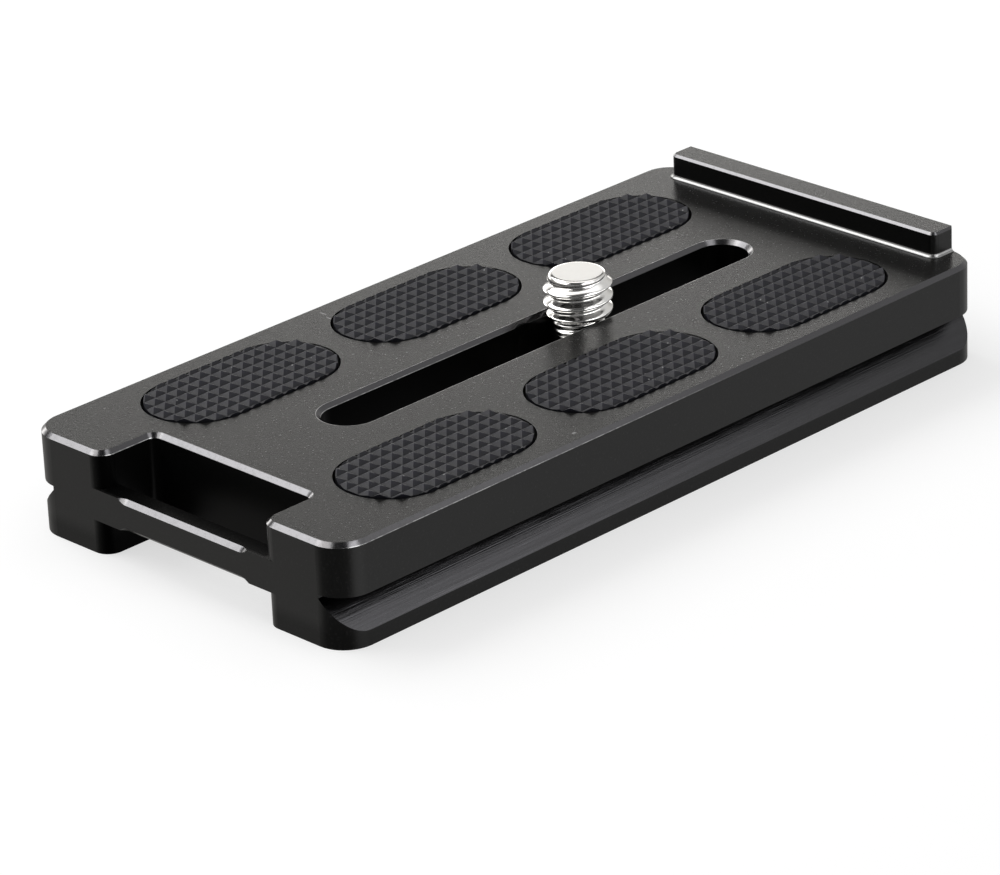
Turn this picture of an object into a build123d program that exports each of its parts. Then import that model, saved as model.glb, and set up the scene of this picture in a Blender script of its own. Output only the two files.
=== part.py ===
"""Tripod quick release plate: dovetail plate with rubber grip pads and a sliding camera screw.

X runs along the plate from the strap notch to the raised lip, Y across it and Z up.
The origin is the middle of the plate's underside. All sizes are millimetres.
"""
import math
import os

from build123d import *

os.makedirs("parts", exist_ok=True)

# Plate
plate_length = 80.0
plate_width = 38.6
plate_height = 9.5
corner_radius = 3.0
edge_chamfer = 0.39

# Dovetail groove along both long sides
rail_height = 1.4
groove_height = 3.3
groove_depth = 2.95

# Strap notch with its bar, and the open channel below
notch_width = 19.5
notch_depth = 6.05
notch_mouth_radius = 1.5
notch_corner_radius = 0.8
strap_bar_depth = 1.95
strap_bar_height = 2.95
bar_chamfer = 0.4
bar_chamfer_length = 16.0
chamfer_tool_radius = 1.5
channel_height = 3.1

# Screw slot, loading hole and the deep recess for the screw's head
slot_width = 5.0
slot_travel = 46.8
slot_chamfer = 0.38
slot_centre_x = 3.0
recess_width = 14.0
recess_height = 5.3
thread_pitch = 1.27
thread_angle = 60.0
loading_hole_diameter = 5.3
loading_hole_countersink = 5.75
loading_thread_depth = 0.5

# Lip at the end
lip_thickness = 2.85
lip_height = 2.35
lip_width = 32.4
lip_corner_radius = 0.7
lip_chamfer = 0.21
lip_fillet = 0.4

# Grip pads in their pockets
pad_length = 19.9
pad_width = 10.2
pad_pitch = 22.5
pad_centre_x = 0.56
pad_centre_y = 11.93
pad_columns = 3
pocket_depth = 1.2
pad_gap = 0.26
pyramid_pitch = 1.28
pyramid_height = 0.34

# Camera screw, with its place along the slot
screw_x = 7.69
thread_diameter = 6.3
thread_lift = 0.35
tip_height = 3.95
tip_diameter = 4.4
neck_diameter = 4.7
relief_diameter = 4.1
relief_length = 0.55
runout_depth = 0.1
head_diameter = 12.4
head_thickness = 1.4
head_chamfer = 0.3
boss_diameter = 7.6
boss_height = 2.6
boss_chamfer = 0.25
screw_lift = 0.6

# Washer on the head
washer_diameter = 11.2
washer_thickness = 0.55
washer_clearance = 0.15

# Folding ring
ring_radius = 8.4
ring_width = 1.5
ring_thickness = 1.3
ring_corner_radius = 1.6
ring_edge_chamfer = 0.15
ring_boss_gap = 0.25
ring_pin_diameter = 1.1
ring_pin_length = 1.9
ring_hole_clearance = 0.06
ring_height_in_boss = 1.3

# Stop screws in the channel
stop_inset_x = 9.3
stop_far_inset_x = 3.3
stop_wall_gap = 0.55
stop_head_diameter = 5.0
stop_head_height = 2.0
stop_thread_diameter = 3.0
stop_thread_length = 4.0
stop_socket_flats = 2.0
stop_socket_depth = 1.1
stop_hole_clearance = 0.05

# Levels and places that follow from the sizes above
plate_start_x = -plate_length / 2
plate_end_x = plate_length / 2
lip_front_x = plate_end_x - lip_thickness
groove_top = rail_height + groove_height
bar_top = channel_height + strap_bar_height
washer_top = recess_height - screw_lift
head_top = washer_top - washer_thickness
head_bottom = head_top - head_thickness
boss_bottom = head_bottom - boss_height
ring_level = boss_bottom + ring_height_in_boss
thread_start = plate_height + thread_lift
tip_level = plate_height + tip_height
screw_axis = Axis((screw_x, 0, 0), (0, 0, 1))
loading_axis = Axis((slot_centre_x, 0, 0), (0, 0, 1))
pad_places = [
    (pad_centre_x + (column - (pad_columns - 1) / 2) * pad_pitch, side * pad_centre_y)
    for side in (1, -1)
    for column in range(pad_columns)
]
stop_y = notch_width / 2 - stop_wall_gap - stop_head_diameter / 2
stop_places = [
    (plate_start_x + stop_inset_x, stop_y),
    (plate_end_x - stop_far_inset_x, -stop_y),
]


# Lip across the end, standing on the plate and flush with its end face
with BuildPart() as lip:
    with BuildSketch(Plane.XY.offset(plate_height - edge_chamfer)):
        with Locations((plate_end_x - lip_thickness / 2, 0)):
            lip_plan = Rectangle(lip_thickness, lip_width)
        fillet(lip_plan.vertices().sort_by(Axis.X)[:2], lip_corner_radius)
    extrude(amount=edge_chamfer + lip_height)
    chamfer(lip.faces().sort_by(Axis.Z)[-1].edges(), lip_chamfer)


# Strap bar across the mouth of the notch, bevelled in front by a cone cutter, above and below
with BuildPart() as strap_bar:
    with BuildSketch(Plane.XY.offset(channel_height)):
        with Locations((plate_start_x + strap_bar_depth / 2, 0)):
            Rectangle(strap_bar_depth, notch_width + 2 * notch_mouth_radius)
    extrude(amount=strap_bar_height)
    cutter_x = plate_start_x + bar_chamfer - chamfer_tool_radius
    cutter_reach = math.sqrt(chamfer_tool_radius**2 - (chamfer_tool_radius - bar_chamfer) ** 2)
    cutter_travel = bar_chamfer_length - 2 * cutter_reach
    for cutter_plane in (
        Plane((cutter_x, 0, bar_top), z_dir=(0, 0, -1)),
        Plane((cutter_x, 0, channel_height), z_dir=(0, 0, 1)),
    ):
        with BuildSketch(cutter_plane):
            SlotCenterToCenter(cutter_travel, 2 * chamfer_tool_radius, rotation=90)
        extrude(amount=2 * bar_chamfer, taper=45, mode=Mode.SUBTRACT)


# Plate body
with BuildPart() as plate_body:
    # Plan outline with the strap notch, its mouth and its corners rounded
    with BuildSketch() as plan:
        RectangleRounded(plate_length, plate_width, corner_radius)
        with Locations((plate_start_x, 0)):
            Rectangle(2 * notch_depth, notch_width, mode=Mode.SUBTRACT)
        notch_corners = plan.vertices().filter_by(lambda v: abs(v.Y) < notch_width / 2 + 0.01)
        fillet(notch_corners.filter_by(lambda v: v.X > plate_start_x + 0.01), notch_corner_radius)
        mouth = plan.vertices().filter_by(lambda v: abs(v.X - plate_start_x) < 0.01)
        fillet(mouth.filter_by(lambda v: abs(v.Y) < notch_width / 2 + 0.01), notch_mouth_radius)
    extrude(amount=plate_height)

    # Lip, with a hollow foot rounded into the top face
    add(lip.part)
    foot = plate_body.edges().filter_by(
        lambda e: abs(e.center().Z - plate_height) < 0.001
        and lip_front_x - 0.001 < e.center().X < plate_end_x - 0.001
        and abs(e.center().Y) < lip_width / 2 + 0.001
    )
    fillet(foot, lip_fillet)

    # Bevelled rim round the top face, up to the foot of the lip
    top_face = plate_body.faces().filter_by(
        lambda f: abs(f.center().Z - plate_height) < 0.001
    ).sort_by(SortBy.AREA)[-1]
    rim = top_face.outer_wire().edges().filter_by(
        lambda e: e.center().X < lip_front_x - lip_fillet - 0.001
        or abs(e.center().Y) > lip_width / 2 + lip_fillet + 0.001
    )
    chamfer(rim, edge_chamfer)

    # Dovetail grooves: a level ceiling, a short root wall and a 45 degree flank
    for side in (1, -1):
        root_y = side * (plate_width / 2 - groove_depth)
        edge_y = side * plate_width / 2
        outside_y = side * (plate_width / 2 + groove_depth)
        with BuildSketch(Plane.YZ.offset(plate_start_x)):
            with BuildLine():
                Polyline(
                    (outside_y, groove_top),
                    (root_y, groove_top),
                    (root_y, rail_height + groove_depth),
                    (edge_y, rail_height),
                    (outside_y, rail_height),
                    close=True,
                )
            make_face()
        extrude(amount=plate_length, mode=Mode.SUBTRACT)

    # Channel between the rails, its ends rounded like the notch's mouth
    flare_x = plate_end_x + notch_mouth_radius / 2
    with BuildSketch() as channel_plan:
        Rectangle(plate_length, notch_width)
        with Locations((-flare_x, 0), (flare_x, 0)):
            Rectangle(notch_mouth_radius, notch_width + 4 * notch_mouth_radius)
        channel_corners = channel_plan.vertices().filter_by(
            lambda v: abs(abs(v.Y) - notch_width / 2) < 0.01
        )
        fillet(channel_corners, notch_mouth_radius)
    extrude(amount=channel_height, mode=Mode.SUBTRACT)
    add(strap_bar.part)

    # Slot for the screw, bevelled at the top, over the recess for its head
    with BuildSketch():
        with Locations((slot_centre_x, 0)):
            SlotCenterToCenter(slot_travel, slot_width)
    extrude(amount=plate_height, mode=Mode.SUBTRACT)
    slotted_face = plate_body.faces().filter_by(
        lambda f: abs(f.center().Z - plate_height) < 0.001
    ).sort_by(SortBy.AREA)[-1]
    chamfer(slotted_face.inner_wires()[0].edges(), slot_chamfer)
    with BuildSketch():
        with Locations((slot_centre_x, 0)):
            SlotCenterToCenter(slot_travel, recess_width)
    extrude(amount=recess_height, mode=Mode.SUBTRACT)

    # Threaded hole halfway along the slot, through which the screw is fitted
    with Locations((slot_centre_x, 0, plate_height)):
        CounterSinkHole(
            loading_hole_diameter / 2, loading_hole_countersink / 2, plate_height, 90
        )
    flank_slope = math.tan(math.radians(thread_angle / 2))
    root_radius = loading_hole_diameter / 2 + loading_thread_depth
    mouth_half = 2 * loading_thread_depth * flank_slope
    for turn in range(int((plate_height - recess_height) / thread_pitch)):
        root_z = plate_height - (turn + 0.75) * thread_pitch
        with BuildSketch(Plane.XZ.move(Location((slot_centre_x, 0, root_z)))):
            with BuildLine():
                Polyline(
                    (root_radius - 2 * loading_thread_depth, -mouth_half),
                    (root_radius, 0),
                    (root_radius - 2 * loading_thread_depth, mouth_half),
                    close=True,
                )
            make_face()
        revolve(axis=loading_axis, mode=Mode.SUBTRACT)

    # Pockets for the grip pads
    with BuildSketch(Plane.XY.offset(plate_height)):
        with Locations(*pad_places):
            SlotOverall(pad_length, pad_width)
    extrude(amount=-pocket_depth, mode=Mode.SUBTRACT)

    # Blind holes for the stop screws
    with BuildSketch(Plane.XY.offset(channel_height)):
        with Locations(*stop_places):
            Circle(stop_thread_diameter / 2 + stop_hole_clearance)
    extrude(amount=stop_thread_length, mode=Mode.SUBTRACT)
plate_body.part.label = "plate_body"
export_step(plate_body.part, "parts/plate_body.step")


def sawtooth(span):
    """Outline of a slab whose top is a row of teeth, with one tooth over the middle."""
    teeth = 2 * math.ceil(span / pyramid_pitch / 2) + 1
    start = -teeth * pyramid_pitch / 2
    points = [(start, plate_height - pocket_depth)]
    for tooth in range(teeth):
        points.append((start + tooth * pyramid_pitch, plate_height))
        points.append((start + (tooth + 0.5) * pyramid_pitch, plate_height + pyramid_height))
    points.append((-start, plate_height))
    points.append((-start, plate_height - pocket_depth))
    return points


# Ridges across the pad and along it, which together leave a field of pyramids
with BuildPart() as cross_ridges:
    with BuildSketch(Plane.XZ):
        with BuildLine():
            Polyline(*sawtooth(pad_length), close=True)
        make_face()
    extrude(amount=pad_width, both=True)

with BuildPart() as long_ridges:
    with BuildSketch(Plane.YZ):
        with BuildLine():
            Polyline(*sawtooth(pad_width), close=True)
        make_face()
    extrude(amount=pad_length, both=True)

# Rubber grip pad, cut to the outline of its pocket
with BuildPart() as grip_pad:
    with BuildSketch(Plane.XY.offset(plate_height - pocket_depth)):
        SlotOverall(pad_length - 2 * pad_gap, pad_width - 2 * pad_gap)
    extrude(amount=pocket_depth + pyramid_height)
    add(cross_ridges.part, mode=Mode.INTERSECT)
    add(long_ridges.part, mode=Mode.INTERSECT)

for number, (pad_x, pad_y) in enumerate(pad_places, 1):
    placed_pad = grip_pad.part.moved(Location((pad_x, pad_y, 0)))
    placed_pad.label = f"grip_pad_{number}"
    export_step(placed_pad, f"parts/grip_pad_{number}.step")


# Camera screw: one turned piece with the thread, the neck, the head and the ring's boss
thread_radius = thread_diameter / 2
neck_radius = neck_diameter / 2
relief_radius = relief_diameter / 2
tip_radius = tip_diameter / 2
head_radius = head_diameter / 2
boss_radius = boss_diameter / 2
relief_top = plate_height - runout_depth
relief_bottom = relief_top - relief_length
with BuildPart() as camera_screw:
    with BuildSketch(Plane.XZ.move(Location((screw_x, 0, 0)))):
        with BuildLine():
            Polyline(
                (0, tip_level),
                (tip_radius, tip_level),
                (thread_radius, tip_level - (thread_radius - tip_radius)),
                (thread_radius, thread_start),
                (neck_radius, relief_top),
                (relief_radius, relief_top),
                (relief_radius, relief_bottom),
                (neck_radius, relief_bottom - (neck_radius - relief_radius)),
                (neck_radius, head_top),
                (head_radius - head_chamfer, head_top),
                (head_radius, head_top - head_chamfer),
                (head_radius, head_bottom + head_chamfer),
                (head_radius - head_chamfer, head_bottom),
                (boss_radius, head_bottom),
                (boss_radius, boss_bottom + boss_chamfer),
                (boss_radius - boss_chamfer, boss_bottom),
                (0, boss_bottom),
                close=True,
            )
        make_face()
    revolve(axis=screw_axis)
    # Cross hole for the ring's pins
    with Locations(Location((screw_x, 0, ring_level), (90, 0, 0))):
        Cylinder(
            ring_pin_diameter / 2 + ring_hole_clearance, boss_diameter, mode=Mode.SUBTRACT
        )
camera_screw.part.label = "camera_screw"
export_step(camera_screw.part, "parts/camera_screw.step")


# Washer between the head and the ceiling of the recess
with BuildPart() as screw_washer:
    with BuildSketch(Plane.XY.offset(head_top)):
        with Locations((screw_x, 0)):
            Circle(washer_diameter / 2)
            Circle(neck_radius + washer_clearance, mode=Mode.SUBTRACT)
    extrude(amount=washer_thickness)
screw_washer.part.label = "screw_washer"
export_step(screw_washer.part, "parts/screw_washer.step")


# Folding ring: a flat D with two pins in the boss's cross hole, folded flat under the head
with BuildSketch(Plane.XY.offset(ring_level)) as ring_window:
    with Locations((screw_x, 0)):
        Circle(ring_radius - ring_width / 2)
    with Locations((screw_x - ring_width / 2, 0)):
        Rectangle(ring_radius, 2 * ring_radius, align=(Align.MAX, Align.CENTER), mode=Mode.INTERSECT)

with BuildPart() as folding_ring:
    with BuildSketch(Plane.XY.offset(ring_level)) as ring_plan:
        with Locations((screw_x, 0)):
            Circle(ring_radius + ring_width / 2)
        with Locations((screw_x + ring_width / 2, 0)):
            Rectangle(
                2 * ring_radius,
                3 * ring_radius,
                align=(Align.MAX, Align.CENTER),
                mode=Mode.INTERSECT,
            )
        fillet(ring_plan.vertices(), ring_corner_radius)
        add(ring_window.sketch, mode=Mode.SUBTRACT)
        with Locations((screw_x, 0)):
            Rectangle(2 * ring_width, boss_diameter + 2 * ring_boss_gap, mode=Mode.SUBTRACT)
    extrude(amount=ring_thickness / 2, both=True)
    flat_faces = folding_ring.faces().filter_by(Plane.XY)
    chamfer(flat_faces.edges(), ring_edge_chamfer)
    for side in (1, -1):
        pin_start = side * (boss_radius - ring_pin_length)
        with BuildSketch(Plane((screw_x, pin_start, ring_level), z_dir=(0, side, 0))):
            Circle(ring_pin_diameter / 2)
        extrude(amount=ring_pin_length + 2 * ring_boss_gap)
folding_ring.part.label = "folding_ring"
export_step(folding_ring.part, "parts/folding_ring.step")


# Stop screws: two socket head screws under the ceiling of the channel
with BuildPart() as stop_screws:
    with BuildSketch(Plane.XY.offset(channel_height)):
        with Locations(*stop_places):
            Circle(stop_thread_diameter / 2)
    extrude(amount=stop_thread_length - stop_hole_clearance)
    with BuildSketch(Plane.XY.offset(channel_height)):
        with Locations(*stop_places):
            Circle(stop_head_diameter / 2)
    extrude(amount=-stop_head_height)
    with BuildSketch(Plane.XY.offset(channel_height - stop_head_height)):
        with Locations(*stop_places):
            RegularPolygon(stop_socket_flats / 2, 6, major_radius=False)
    extrude(amount=stop_socket_depth, mode=Mode.SUBTRACT)
stop_screws.part.label = "stop_screws"
export_step(stop_screws.part, "parts/stop_screws.step")
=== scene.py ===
"""Tripod quick release plate: the looks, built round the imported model. Metres, in the model's frame."""

import math

import bmesh
import bpy
import numpy as np
from mathutils import Matrix, Vector


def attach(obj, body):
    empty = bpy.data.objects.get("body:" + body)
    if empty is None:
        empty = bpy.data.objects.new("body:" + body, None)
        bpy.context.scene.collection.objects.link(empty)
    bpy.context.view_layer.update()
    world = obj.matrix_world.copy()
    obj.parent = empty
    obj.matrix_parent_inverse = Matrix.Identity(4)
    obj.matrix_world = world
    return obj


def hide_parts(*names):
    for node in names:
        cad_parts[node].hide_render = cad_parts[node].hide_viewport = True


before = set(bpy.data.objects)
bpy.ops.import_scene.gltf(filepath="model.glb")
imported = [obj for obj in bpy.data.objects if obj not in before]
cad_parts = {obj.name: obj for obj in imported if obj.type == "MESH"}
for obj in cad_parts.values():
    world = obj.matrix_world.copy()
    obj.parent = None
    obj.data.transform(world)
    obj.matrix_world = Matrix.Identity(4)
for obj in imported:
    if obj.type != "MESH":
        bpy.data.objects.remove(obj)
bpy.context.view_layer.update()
MM = 0.001

# Sizes that repeat the solids', in millimetres
END_X = 40.0
PLATE_TOP = 9.5
BEVEL = 0.39
BEVEL_FOOT = PLATE_TOP - BEVEL
CHANNEL_TOP = 3.1
SLOT_X = 3.0
SLOT_HALF_TRAVEL = 23.4
SLOT_HALF_WIDTH = 2.5
SLOT_BEVEL = 0.38
NOTCH_END_X = -33.95
NOTCH_HALF_WIDTH = 9.75
NOTCH_MOUTH = 1.5
LIP_FRONT_X = 37.15
PYRAMID_HEIGHT = 0.34
SCREW_X = 7.69
HEAD_TOP = 4.15
TIP_LEVEL = 13.45
TIP_RADIUS = 2.2

# Tints, which multiply a grey
NEUTRAL = (1.0, 1.0, 1.0)
WARM_BLACK = (1.0, 0.985, 0.95)
RUBBER_BLUE = (1.0, 1.0, 1.5)
RUBBER_PALE = (1.0, 1.0, 1.2)


# Camera: the photograph's own point of view
CAMERA_AT = (-0.282814, -0.286593, 0.180430)
CAMERA_RIGHT = (0.70216, -0.71093, -0.03934)
CAMERA_DOWN = (-0.31622, -0.26186, -0.91183)
CAMERA_AHEAD = (0.63794, 0.65269, -0.40868)
SENSOR_WIDTH = 36
FOCAL_LENGTH = 179.815
camera_data = bpy.data.cameras.new("camera")
camera_data.sensor_width = SENSOR_WIDTH
camera_data.lens = FOCAL_LENGTH
camera_data.clip_start = 0.01
camera_data.clip_end = 50
camera = bpy.data.objects.new("camera", camera_data)
bpy.context.scene.collection.objects.link(camera)
turn = Matrix((CAMERA_RIGHT, -Vector(CAMERA_DOWN), -Vector(CAMERA_AHEAD))).transposed()
camera.matrix_world = Matrix.Translation(CAMERA_AT) @ turn.to_4x4()
bpy.context.scene.camera = camera
bpy.context.scene.view_settings.view_transform = "Standard"


# Node helpers
class Nodes:
    """A node tree that is filled from short calls."""

    def __init__(self, tree):
        self.tree = tree
        tree.nodes.clear()

    def add(self, kind, **settings):
        node = self.tree.nodes.new(kind)
        for key, value in settings.items():
            setattr(node, key, value)
        return node

    def link(self, source, target):
        self.tree.links.new(source, target)

    def put(self, socket, value):
        if isinstance(value, bpy.types.NodeSocket):
            self.link(value, socket)
        else:
            socket.default_value = value

    def math(self, operation, a, b=0.0):
        node = self.add("ShaderNodeMath", operation=operation)
        self.put(node.inputs[0], a)
        self.put(node.inputs[1], b)
        return node.outputs[0]

    def step(self, value, low, high, out_low=0.0, out_high=1.0):
        """A smooth step of value from low to high."""
        node = self.add("ShaderNodeMapRange", interpolation_type="SMOOTHSTEP")
        self.put(node.inputs["Value"], value)
        node.inputs["From Min"].default_value = low
        node.inputs["From Max"].default_value = high
        node.inputs["To Min"].default_value = out_low
        node.inputs["To Max"].default_value = out_high
        return node.outputs["Result"]

    def highest(self, first, *others):
        for other in others:
            first = self.math("MAXIMUM", first, other)
        return first

    def mix(self, factor, a, b):
        node = self.add("ShaderNodeMix", data_type="RGBA")
        self.put(node.inputs["Factor"], factor)
        self.put(node.inputs["A"], a)
        self.put(node.inputs["B"], b)
        return node.outputs["Result"]

    def noise(self, vector, scale, detail=3.0, roughness=0.55):
        node = self.add("ShaderNodeTexNoise")
        self.link(vector, node.inputs["Vector"])
        node.inputs["Scale"].default_value = scale
        node.inputs["Detail"].default_value = detail
        node.inputs["Roughness"].default_value = roughness
        return node.outputs["Fac"]

    def inside(self, value, low, high, soft):
        """One where value lies between low and high, with soft edges."""
        return self.math("MULTIPLY", self.step(value, low - soft, low),
                         self.step(value, high, high + soft, 1.0, 0.0))

    def product(self, first, *others):
        for other in others:
            first = self.math("MULTIPLY", first, other)
        return first

    def inverse(self, value):
        return self.math("SUBTRACT", 1.0, value)

    def specks(self, vector, scale, size, share):
        """Scattered round specks, in the given share of all cells."""
        node = self.add("ShaderNodeTexVoronoi", feature="F1")
        self.link(vector, node.inputs["Vector"])
        node.inputs["Scale"].default_value = scale
        red = self.xyz(node.outputs["Color"])[0]
        spot = self.step(node.outputs["Distance"], size * 0.5, size, 1.0, 0.0)
        return self.math("MULTIPLY", spot, self.step(red, 1.0 - share, 1.001 - share))

    def stretch(self, vector, scale):
        node = self.add("ShaderNodeMapping")
        self.link(vector, node.inputs["Vector"])
        node.inputs["Scale"].default_value = scale
        return node.outputs["Vector"]

    def xyz(self, vector):
        node = self.add("ShaderNodeSeparateXYZ")
        self.link(vector, node.inputs[0])
        return node.outputs["X"], node.outputs["Y"], node.outputs["Z"]

    def bump(self, height, strength, distance):
        node = self.add("ShaderNodeBump")
        self.link(height, node.inputs["Height"])
        node.inputs["Strength"].default_value = strength
        node.inputs["Distance"].default_value = distance
        return node.outputs["Normal"]


def grey(value, tint=NEUTRAL):
    return (value * tint[0], value * tint[1], value * tint[2], 1.0)


def new_material(name):
    material = bpy.data.materials.new(name)
    material.use_nodes = True
    nodes = Nodes(material.node_tree)
    shader = nodes.add("ShaderNodeBsdfPrincipled")
    output = nodes.add("ShaderNodeOutputMaterial")
    nodes.link(shader.outputs[0], output.inputs["Surface"])
    coordinates = nodes.add("ShaderNodeTexCoord")
    return material, nodes, shader, coordinates


# Anodised plate: satin faces, bright machined bevels with painted highlights, lengthwise cutter lines on the
# flanks with painted light and shade, and painted shade in the hollows.
# MARKS are small dints and scratches on the top: middle and half size along x and y.
MARKS = ((-11.37, -17.76, 0.16, 0.10), (-6.9, 17.5, 0.05, 0.35), (-7.3, 16.35, 0.05, 0.25))
# How strongly painted shade darkens the notch and the lip's wall
NOTCH_SHADE_SHARE = 0.86
LIP_SHADE_SHARE = 0.8
HALF_RIGHT = 0.707


def distance_from_slot(n, x, y):
    """Distance from the slot's middle line, in metres."""
    along = n.math("ABSOLUTE", n.math("SUBTRACT", x, SLOT_X * MM))
    beyond = n.math("MAXIMUM", n.math("SUBTRACT", along, SLOT_HALF_TRAVEL * MM), 0.0)
    squares = n.math("ADD", n.math("MULTIPLY", beyond, beyond), n.math("MULTIPLY", y, y))
    return n.math("SQRT", squares)


def painted_hollow_shade(n, x, y, z, nx, ny, from_slot):
    """One in the notch, the slot and the channel, which little light reaches, and less on the lip's wall:
    where shade is painted into the colour and the reflections.
    """
    across = n.math("ABSOLUTE", y)
    below_bevel = n.step(z, (BEVEL_FOOT - 0.06) * MM, BEVEL_FOOT * MM, 1.0, 0.0)
    behind_face = n.step(x, (0.03 - END_X) * MM, (0.4 - END_X) * MM)
    before_end = n.step(x, (END_X - 0.4) * MM, (END_X - 0.03) * MM, 1.0, 0.0)
    between = n.step(across, (NOTCH_HALF_WIDTH + 0.1) * MM, (NOTCH_HALF_WIDTH + 0.3) * MM, 1.0, 0.0)
    slot = n.math("MULTIPLY", below_bevel,
                  n.step(from_slot, (SLOT_HALF_WIDTH + 0.8) * MM, (SLOT_HALF_WIDTH + 1.0) * MM, 1.0, 0.0))
    notch = n.product(below_bevel, behind_face, between,
                      n.step(x, (NOTCH_END_X + 0.15) * MM, (NOTCH_END_X + 0.35) * MM, 1.0, 0.0))
    channel = n.product(n.step(z, CHANNEL_TOP * MM, (CHANNEL_TOP + 0.1) * MM, 1.0, 0.0),
                        behind_face, between, before_end)
    mouth = n.product(below_bevel,
                      n.step(x, (NOTCH_MOUTH - END_X) * MM, (NOTCH_MOUTH + 0.2 - END_X) * MM, 1.0, 0.0),
                      n.step(ny, -0.7, -0.1, 1.0, 0.0),
                      n.inside(y, NOTCH_HALF_WIDTH * MM, (NOTCH_HALF_WIDTH + NOTCH_MOUTH) * MM, 0.1 * MM))
    lip = n.product(n.step(x, (LIP_FRONT_X - 0.65) * MM, (LIP_FRONT_X - 0.55) * MM),
                    n.step(nx, -0.97, -0.9, LIP_SHADE_SHARE, 0.0),
                    n.step(z, (PLATE_TOP + 0.2) * MM, (PLATE_TOP + 0.5) * MM))
    return n.highest(slot, n.math("MULTIPLY", notch, NOTCH_SHADE_SHARE), channel, mouth, lip)


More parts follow.
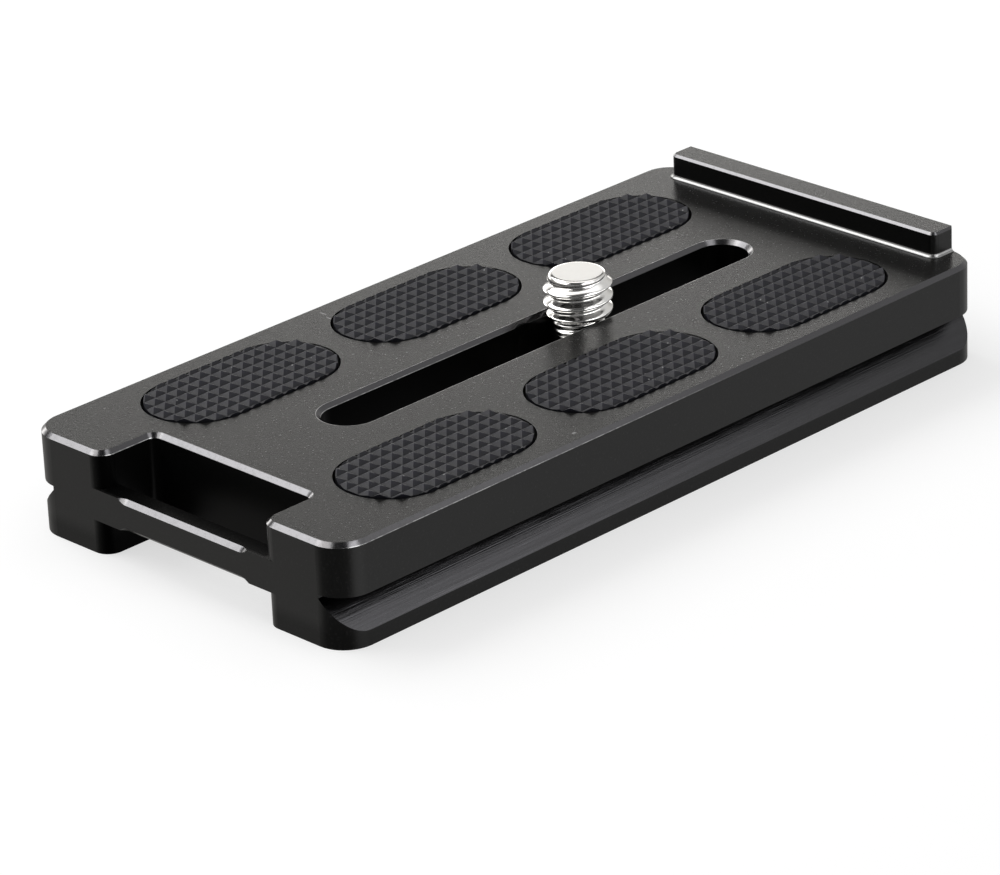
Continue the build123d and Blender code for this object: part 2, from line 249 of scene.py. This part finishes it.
def plate_material():
    material, n, shader, coordinates = new_material("anodised_plate")
    place = coordinates.outputs["Object"]
    x, y, z = n.xyz(place)
    nx, ny, nz = n.xyz(coordinates.outputs["Normal"])
    slant = n.step(n.math("ABSOLUTE", n.math("SUBTRACT", nz, HALF_RIGHT)), 0.02, 0.10, 1.0, 0.0)
    above = n.step(z, 4.9 * MM, 5.1 * MM)
    side_facing = n.step(n.math("ABSOLUTE", ny), 0.5, 0.65)
    flank = n.product(slant, n.inverse(above), side_facing)
    bevel = n.math("MULTIPLY", slant, n.inverse(flank))
    level = n.step(nz, 0.9, 0.97)
    from_slot = distance_from_slot(n, x, y)
    hollow_shade = painted_hollow_shade(n, x, y, z, nx, ny, from_slot)

    grain = n.noise(place, 4500, 2.0, 0.6)
    fine = n.noise(place, 11000, 1.0)
    cloud = n.noise(place, 60, 3.0, 0.5)
    lines = n.noise(n.stretch(place, (60, 9000, 9000)), 1.0, 3.0, 0.7)
    long_lines = n.noise(n.stretch(place, (25, 2600, 2600)), 1.0, 2.0, 0.6)

    # Colour: dark anodising with pale grains, machined flanks with painted light and shade, hollows painted
    # near black as shade, and machined bevels with painted highlights
    dark = n.mix(cloud, grey(0.0060, WARM_BLACK), grey(0.0085, WARM_BLACK))
    colour = n.mix(n.step(grain, 0.56, 0.78, 0.0, 0.35), dark, grey(0.040))
    # Painted light: the flanks lighter at the left end and darker at the right
    milled_and_shaded = n.mix(n.step(x, -36 * MM, 36 * MM),
                   grey(0.150, (1.0, 0.99, 1.05)), grey(0.064, (1.0, 0.99, 1.04)))
    milled_and_shaded = n.mix(n.step(long_lines, 0.35, 0.75, 0.35, 0.0), milled_and_shaded, grey(0.05))
    # Painted shade at the top of the flanks, under the overhang
    milled_and_shaded = n.mix(n.step(z, 2.9 * MM, 4.1 * MM, 0.0, 0.9), milled_and_shaded, grey(0.004))
    colour = n.mix(flank, colour, milled_and_shaded)
    # Painted shade: the hollows darkened almost to black
    colour = n.mix(n.math("MULTIPLY", hollow_shade, 0.9), colour, grey(0.0005))
    to_left = n.step(x, -20 * MM, 14 * MM, 1.0, 0.0)
    near_edge = n.math("MULTIPLY", n.step(y, -18.9 * MM, -18.6 * MM, 1.0, 0.0), to_left)
    end_bevel = n.step(nx, -0.6, -0.4, 1.0, 0.0)
    # Painted highlights: the near bevels on the left half and the end bevels lighter than the rest of the
    # bevels' bare metal
    bevel_metal_and_highlight = n.mix(near_edge, grey(0.102, (1.0, 0.985, 1.03)), grey(0.170, (1.0, 0.985, 1.03)))
    bevel_metal_and_highlight = n.mix(end_bevel, bevel_metal_and_highlight, grey(0.176, (1.0, 0.985, 1.02)))
    patches = n.step(n.noise(place, 2200, 3.0, 0.7), 0.45, 0.75)
    bevel_metal_and_highlight = n.mix(n.math("MULTIPLY", patches, 0.35), bevel_metal_and_highlight, grey(0.10))
    colour = n.mix(bevel, colour, bevel_metal_and_highlight)

    # Painted highlights, as bare metal: the lip's fillet lighter, and bright lines along the lower edge of
    # the bevels on the left half and round the rim of the slot, broken up by noise
    foot = n.product(n.inside(z, (PLATE_TOP + 0.04) * MM, (PLATE_TOP + 0.32) * MM, 0.02 * MM),
                     n.step(x, (LIP_FRONT_X - 0.75) * MM, (LIP_FRONT_X - 0.65) * MM),
                     n.inside(nz, 0.25, 0.93, 0.05))
    colour = n.mix(foot, colour, grey(0.30))
    edge = n.inside(z, (BEVEL_FOOT - 0.01) * MM, (BEVEL_FOOT + 0.035) * MM, 0.02 * MM)
    rim_radius = SLOT_HALF_WIDTH + SLOT_BEVEL
    rim = n.product(level, n.inside(from_slot, rim_radius * MM, (rim_radius + 0.04) * MM, 0.02 * MM))
    bevel_edge_highlight = n.product(edge, bevel, to_left, n.inverse(end_bevel))
    edge_highlight = n.math("MULTIPLY", n.step(n.noise(place, 1500, 3.0, 0.7), 0.35, 0.65, 0.25, 1.0),
                  n.math("MAXIMUM", bevel_edge_highlight, rim))
    colour = n.mix(edge_highlight, colour, grey(0.55))

    # Dust and marks on the top
    dust = n.math("MULTIPLY", level, n.specks(place, 420, 0.045, 0.14))
    colour = n.mix(n.math("MULTIPLY", dust, 0.5), colour, grey(0.25))
    for mark_x, mark_y, half_x, half_y in MARKS:
        mark = n.product(level, n.inside(x, (mark_x - half_x) * MM, (mark_x + half_x) * MM, 0.06 * MM),
                         n.inside(y, (mark_y - half_y) * MM, (mark_y + half_y) * MM, 0.06 * MM))
        colour = n.mix(n.math("MULTIPLY", mark, 0.7), colour, grey(0.30))
    n.link(colour, shader.inputs["Base Color"])

    rough = n.math("ADD", n.math("MULTIPLY", grain, 0.07), 0.285)
    rough = n.math("SUBTRACT", rough, n.math("MULTIPLY", level, 0.06))
    shine = n.inverse(n.math("MULTIPLY", n.math("MAXIMUM", bevel, flank), 0.40))
    n.link(n.math("MULTIPLY", rough, shine), shader.inputs["Roughness"])
    bare = n.highest(bevel, foot, flank, n.math("MULTIPLY", edge_highlight, 0.8))
    n.link(bare, shader.inputs["Metallic"])
    # Painted shade in the reflections: weaker on the lowest faces near the floor and in the hollows
    low = n.step(z, 1.0 * MM, 2.6 * MM, 0.55, 1.0)
    gloss = n.product(n.inverse(n.math("MULTIPLY", hollow_shade, 0.9)), low, 0.5)
    n.link(gloss, shader.inputs["Specular IOR Level"])
    shader.inputs["IOR"].default_value = 1.42

    coarse = n.noise(place, 1700, 2.0, 0.6)
    height = n.math("ADD", n.math("MULTIPLY", grain, 0.40), n.math("MULTIPLY", fine, 0.32))
    height = n.math("ADD", height, n.math("MULTIPLY", coarse, 0.19))
    height = n.math("MULTIPLY", height, n.math("ADD", n.math("MULTIPLY", level, 0.5), 0.5))
    height = n.math("ADD", height, n.product(lines, flank, 1.2))
    n.link(n.bump(height, 1.0, 0.016 * MM), shader.inputs["Normal"])
    return material


# Moulded rubber of the pads, with painted shade in the valleys between the pyramids, paler towards the tips
def rubber_material():
    material, n, shader, coordinates = new_material("pad_rubber")
    place = coordinates.outputs["Object"]
    z = n.xyz(place)[2]
    mottle = n.noise(place, 1500, 4.0, 0.6)
    fine = n.noise(place, 7000, 2.0, 0.6)
    rise = n.step(z, PLATE_TOP * MM, (PLATE_TOP + 0.75 * PYRAMID_HEIGHT) * MM)
    tip = n.step(z, (PLATE_TOP + 0.7 * PYRAMID_HEIGHT) * MM, (PLATE_TOP + PYRAMID_HEIGHT) * MM)
    colour = n.mix(mottle, grey(0.009, RUBBER_BLUE), grey(0.016, RUBBER_BLUE))
    # Painted shade in the valleys; the colour paler towards the tips, then pale dust patches and specks
    colour = n.mix(n.math("MULTIPLY", n.inverse(rise), 0.6), colour, grey(0.002))
    colour = n.mix(n.math("MULTIPLY", tip, 0.3), colour, grey(0.05, RUBBER_PALE))
    colour = n.mix(n.step(fine, 0.62, 0.76, 0.0, 0.3), colour, grey(0.10, RUBBER_PALE))
    colour = n.mix(n.math("MULTIPLY", n.specks(place, 1300, 0.13, 0.10), 0.7), colour, grey(0.35))
    n.link(colour, shader.inputs["Base Color"])
    n.link(n.math("ADD", n.math("MULTIPLY", mottle, 0.22), 0.34), shader.inputs["Roughness"])
    shader.inputs["Specular IOR Level"].default_value = 0.22
    shader.inputs["IOR"].default_value = 1.48
    height = n.math("ADD", mottle, n.math("MULTIPLY", fine, 0.35))
    n.link(n.bump(height, 0.8, 0.03 * MM), shader.inputs["Normal"])
    return material


# Plated and bare metals
METAL_WEAR_SCALE = 2500


def metal_material(name, value, tint, roughness, bump, metallic=1.0, end_level=None):
    """Metal with fine wear. Above end_level, in millimetres, it is as rough as a turned end."""
    material, n, shader, coordinates = new_material(name)
    place = coordinates.outputs["Object"]
    wear = n.noise(place, METAL_WEAR_SCALE, 3.0)
    fine = n.noise(place, METAL_WEAR_SCALE * 6, 2.0)
    n.link(n.mix(wear, grey(0.94 * value, tint), grey(value, tint)), shader.inputs["Base Color"])
    rough = n.math("ADD", n.math("MULTIPLY", fine, 0.5 * roughness), 0.75 * roughness)
    if end_level is not None:
        z = n.xyz(place)[2]
        end = n.step(z, (end_level - 0.006) * MM, (end_level - 0.003) * MM, 0.0, 0.28)
        rough = n.math("ADD", rough, end)
    n.link(rough, shader.inputs["Roughness"])
    shader.inputs["Metallic"].default_value = metallic
    n.link(n.bump(fine, bump, 0.004 * MM), shader.inputs["Normal"])
    return material


def plastic_material(name, value, tint, roughness):
    material, n, shader, coordinates = new_material(name)
    place = coordinates.outputs["Object"]
    mottle = n.noise(place, 2500, 3.0)
    n.link(n.mix(mottle, grey(0.9 * value, tint), grey(value, tint)), shader.inputs["Base Color"])
    shader.inputs["Roughness"].default_value = roughness
    n.link(n.bump(mottle, 0.2, 0.01 * MM), shader.inputs["Normal"])
    return material


def dress(node, material):
    """Gives a CAD node its material."""
    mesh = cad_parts[node].data
    mesh.materials.clear()
    mesh.materials.append(material)


plate = plate_material()
rubber = rubber_material()
nickel = metal_material("nickel_plate", 0.88, (1.0, 0.99, 0.97), 0.13, 0.2, end_level=TIP_LEVEL)
steel = metal_material("ring_steel", 0.60, (1.0, 0.99, 0.98), 0.28, 0.4)
black_oxide = metal_material("black_oxide", 0.06, (1.0, 1.0, 1.05), 0.42, 0.4, metallic=0.6)
nylon = plastic_material("washer_nylon", 0.72, (1.0, 0.985, 0.94), 0.45)
dress("plate_body", plate)
for number in range(1, 7):
    dress(f"grip_pad_{number}", rubber)
dress("screw_washer", nylon)
dress("folding_ring", steel)
dress("stop_screws", black_oxide)


# Camera screw: the solid's head and boss, under a neck and a real right-handed thread.
# RUN_OUT gives the largest radius at a height, and RIPPLE_SHARE how strongly the faint last turns show.
PITCH = 1.27
CREST_RADIUS = 3.135
ROOT_RADIUS = 2.43
SHOULDER_RADIUS = 2.63
SHOULDER_DROP = 0.38
SHOULDER_SLOPE = 1.3
THREAD_FOOT = 8.1
NECK_RADIUS = 2.35
NECK_SHOULDER = 7.95
RUN_OUT_RADIUS = 2.26
RIPPLE = 0.11
CREST_LEVEL = PLATE_TOP + 1.79
CREST_TURN = math.radians(45.4)
FREE_RADIUS = CREST_RADIUS + 0.2
RUN_OUT = ((THREAD_FOOT, RUN_OUT_RADIUS), (9.3, RUN_OUT_RADIUS), (9.65, 2.86),
           (10.4, FREE_RADIUS), (TIP_LEVEL, FREE_RADIUS))
RIPPLE_SHARE = ((THREAD_FOOT, 0.0), (8.3, 1.0), (9.3, 1.0), (9.6, 0.0))
ROWS = 48
COLUMNS = 144
BLEND = 0.045
SHARP_ANGLE = math.radians(24)


def thread_radius(u, z):
    """Radius of the thread at u below or above a crest's middle and at height z, all edges rounded."""
    middle = (CREST_RADIUS + ROOT_RADIUS) / 2
    thread = middle + (CREST_RADIUS - middle) * math.cos(2 * math.pi * u / PITCH)
    drop = min(1.0, (TIP_LEVEL - z) / SHOULDER_DROP)
    shoulder = TIP_RADIUS + (SHOULDER_RADIUS - TIP_RADIUS) * math.sqrt(max(0.0, 1 - (1 - drop) ** 2))
    shoulder += SHOULDER_SLOPE * max(0.0, TIP_LEVEL - SHOULDER_DROP - 0.15 - z)
    run_out = float(np.interp(z, *zip(*RUN_OUT)))
    run_out += RIPPLE * float(np.interp(z, *zip(*RIPPLE_SHARE))) * math.cos(4 * math.pi * u / PITCH)
    total = sum(math.exp((middle - radius) / BLEND) for radius in (thread, shoulder, run_out))
    return min(middle - BLEND * math.log(total), shoulder)


def place_on_screw(radius, angle, z):
    """A point round the screw's axis, in metres."""
    return (SCREW_X + radius * math.cos(angle)) * MM, radius * math.sin(angle) * MM, z * MM


def add_head(mesh):
    """The solid's own head and boss, closed on top."""
    mesh.from_mesh(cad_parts["camera_screw"].data)
    upper = [f for f in mesh.faces if max(v.co.z for v in f.verts) > (HEAD_TOP + 0.05) * MM]
    bmesh.ops.delete(mesh, geom=upper, context="FACES")
    bmesh.ops.remove_doubles(mesh, verts=mesh.verts, dist=0.0005 * MM)
    bmesh.ops.holes_fill(mesh, edges=[e for e in mesh.edges if e.is_boundary], sides=0)


def add_thread(mesh):
    """Rings that climb by one pitch a turn. Rows beyond the foot or the tip collapse onto it."""
    low_row = math.floor((THREAD_FOOT - CREST_LEVEL) / PITCH * ROWS) - 2 * ROWS
    high_row = math.ceil((TIP_LEVEL - CREST_LEVEL) / PITCH * ROWS) + ROWS
    rings = []
    for row in range(low_row, high_row + 1):
        ring = []
        for column in range(COLUMNS):
            angle = 2 * math.pi * column / COLUMNS
            u = row * PITCH / ROWS
            z = CREST_LEVEL + PITCH * (angle + CREST_TURN) / (2 * math.pi) + u
            if z > TIP_LEVEL:
                z, radius = TIP_LEVEL, TIP_RADIUS
            elif z < THREAD_FOOT:
                z, radius = THREAD_FOOT, RUN_OUT_RADIUS
            else:
                radius = thread_radius(u, z)
            ring.append(mesh.verts.new(place_on_screw(radius, angle, z)))
        rings.append(ring)
    for row in range(len(rings) - 1):
        for column in range(COLUMNS):
            right = column + 1
            shift = 0
            if right == COLUMNS:
                right, shift = 0, ROWS
            if row + 1 + shift < len(rings):
                mesh.faces.new((rings[row][column], rings[row + shift][right],
                                rings[row + 1 + shift][right], rings[row + 1][column]))


def add_neck_and_tip(mesh):
    """The plain neck with its foot, and the tip's flat end with a narrow rim."""
    levels = ((RUN_OUT_RADIUS, THREAD_FOOT), (NECK_RADIUS, NECK_SHOULDER), (NECK_RADIUS, HEAD_TOP - 0.1),
              (TIP_RADIUS - 0.08, TIP_LEVEL), (TIP_RADIUS, TIP_LEVEL))
    neck_top, neck_shoulder, neck_foot, tip_inner, tip_outer = [
        [mesh.verts.new(place_on_screw(radius, 2 * math.pi * c / COLUMNS, z)) for c in range(COLUMNS)]
        for radius, z in levels]
    pairs = ((neck_top, neck_shoulder), (neck_shoulder, neck_foot), (tip_inner, tip_outer))
    for upper_ring, lower_ring in pairs:
        for c in range(COLUMNS):
            d = (c + 1) % COLUMNS
            mesh.faces.new((lower_ring[c], lower_ring[d], upper_ring[d], upper_ring[c]))
    mesh.faces.new(tip_inner)
    mesh.faces.new(neck_foot)


def threaded_screw():
    mesh = bmesh.new()
    add_head(mesh)
    add_thread(mesh)
    add_neck_and_tip(mesh)
    bmesh.ops.remove_doubles(mesh, verts=mesh.verts, dist=0.0015 * MM)
    bmesh.ops.dissolve_degenerate(mesh, edges=mesh.edges, dist=0.001 * MM)
    bmesh.ops.recalc_face_normals(mesh, faces=mesh.faces)
    data = bpy.data.meshes.new("camera_screw_thread")
    mesh.to_mesh(data)
    mesh.free()
    for polygon in data.polygons:
        polygon.use_smooth = True
    data.set_sharp_from_angle(angle=SHARP_ANGLE)
    data.materials.append(nickel)
    screw = bpy.data.objects.new("camera_screw_thread", data)
    bpy.context.scene.collection.objects.link(screw)
    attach(screw, "screw")
    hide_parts("camera_screw")


threaded_screw()


# Floor: pale, white to the camera away from the object's shadow
def floor_material():
    material = bpy.data.materials.new("studio_floor")
    material.use_nodes = True
    n = Nodes(material.node_tree)
    rays = n.add("ShaderNodeLightPath")
    output = n.add("ShaderNodeOutputMaterial")
    seen = n.add("ShaderNodeBsdfDiffuse")
    seen.inputs["Color"].default_value = grey(0.45)
    lit = n.add("ShaderNodeEmission")
    lit.inputs["Color"].default_value = grey(1.0)
    lit.inputs["Strength"].default_value = 0.60
    seen_sum = n.add("ShaderNodeAddShader")
    n.link(seen.outputs[0], seen_sum.inputs[0])
    n.link(lit.outputs[0], seen_sum.inputs[1])
    plain = n.add("ShaderNodeBsdfDiffuse")
    plain.inputs["Color"].default_value = grey(0.80)
    either = n.add("ShaderNodeMixShader")
    n.link(rays.outputs["Is Camera Ray"], either.inputs[0])
    n.link(plain.outputs[0], either.inputs[1])
    n.link(seen_sum.outputs[0], either.inputs[2])
    n.link(either.outputs[0], output.inputs["Surface"])
    return material


FLOOR_HALF = 2
floor_mesh = bpy.data.meshes.new("floor")
floor_corners = [(x * FLOOR_HALF, y * FLOOR_HALF, 0) for x, y in ((-1, -1), (1, -1), (1, 1), (-1, 1))]
floor_mesh.from_pydata(floor_corners, [], [(0, 1, 2, 3)])
floor_mesh.materials.append(floor_material())
floor = bpy.data.objects.new("floor", floor_mesh)
bpy.context.scene.collection.objects.link(floor)
floor.visible_glossy = False


# World
DIFFUSE_LEVEL = 0.62


def studio_world():
    """White to the camera and plain to matt faces. In reflections it has, above the horizon, a bright far
    band, a ceiling that is lit overhead and to the right, and lamps at the camera's right and left. Below,
    it has the pale table all round except on the camera's side."""
    world = bpy.data.worlds.new("studio")
    bpy.context.scene.world = world
    world.use_nodes = True
    w = Nodes(world.node_tree)
    rays = w.add("ShaderNodeLightPath")
    coordinates = w.add("ShaderNodeTexCoord")
    dx, dy, dz = w.xyz(coordinates.outputs["Generated"])
    around = w.math("ARCTAN2", dy, dx)

    def sector(start, end, soft):
        """One between two bearings in degrees, with soft edges."""
        return w.inside(around, math.radians(start), math.radians(end), math.radians(soft))

    # Below the horizon
    table = w.math("MULTIPLY", sector(-98, 136, 15), 0.47)
    low_band = w.math("MULTIPLY", sector(-95, -72, 18), 0.40)
    below = w.math("ADD", w.math("ADD", table, low_band), 0.03)

    # Above it
    far = w.math("ADD", w.math("MULTIPLY", sector(31, 92, 13), 0.88), 0.12)
    horizon = w.product(w.step(dz, 0.13, 0.32, 5.0, 1.0), w.step(dz, 0.34, 0.46, 1.0, 0.0),
                        w.step(dz, 0.0, 0.15, 0.12, 1.0), far)
    right_side = w.math("MULTIPLY", w.step(dx, 0.1, 0.6), w.step(dy, 0.55, 0.1))
    ceiling = w.math("ADD", w.math("MULTIPLY", right_side, 0.57), 0.08)
    overhead = w.math("MULTIPLY", w.step(w.math("ADD", dx, dy), 0.0, 0.17),
                      w.step(dz, 0.55, 0.97, 0.0, 1.5))
    strip = w.product(sector(-96, -64, 8), w.step(dz, 0.0, 0.5), w.step(dz, 0.90, 0.96, 1.0, 0.0), 3.0)
    low_right = w.product(sector(-114, -40, 6), w.inside(dz, 0.18, 0.46, 0.08), 1.8)
    mid_right = w.product(sector(-114, -90, 5), w.step(dz, 0.1, 0.5), w.step(dz, 0.70, 0.84, 1.0, 0.0), 2.6)
    left_strip = w.product(sector(134, 200, 8), w.step(dz, 0.2, 0.6), w.step(dz, 0.86, 0.90, 1.0, 0.0), 2.6)
    above = w.highest(horizon, ceiling, overhead, strip, low_right, mid_right, left_strip)

    rising = w.step(dz, -0.25, 0.05)
    sky = w.math("ADD", w.math("MULTIPLY", above, rising), w.math("MULTIPLY", below, w.inverse(rising)))
    reflected = rays.outputs["Is Glossy Ray"]
    seen = rays.outputs["Is Camera Ray"]
    strength = w.math("MULTIPLY", reflected, w.math("SUBTRACT", sky, DIFFUSE_LEVEL))
    strength = w.math("ADD", strength, DIFFUSE_LEVEL)
    strength = w.math("ADD", strength, w.math("MULTIPLY", seen, w.inverse(strength)))
    warm = w.math("MULTIPLY", w.step(dy, -0.2, 0.3), reflected)
    background = w.add("ShaderNodeBackground")
    w.link(w.mix(warm, grey(1.0), grey(1.0, (1.0, 0.985, 0.955))), background.inputs["Color"])
    w.link(strength, background.inputs["Strength"])
    output = w.add("ShaderNodeOutputWorld")
    w.link(background.outputs[0], output.inputs["Surface"])


studio_world()


def softbox(name, toward, distance, width, height, radiance):
    """A square light that faces the object from the given direction."""
    data = bpy.data.lights.new(name, "AREA")
    data.shape = "RECTANGLE"
    data.size = width
    data.size_y = height
    data.energy = radiance * math.pi * width * height
    light = bpy.data.objects.new(name, data)
    away = Vector(toward).normalized()
    light.location = away * distance
    light.rotation_mode = "QUATERNION"
    light.rotation_quaternion = away.to_track_quat("Z", "Y")
    light.visible_camera = False
    bpy.context.scene.collection.objects.link(light)


softbox("softbox_left", (-0.18, 0.66, 0.71), 0.7, 0.62, 0.40, 3.3)
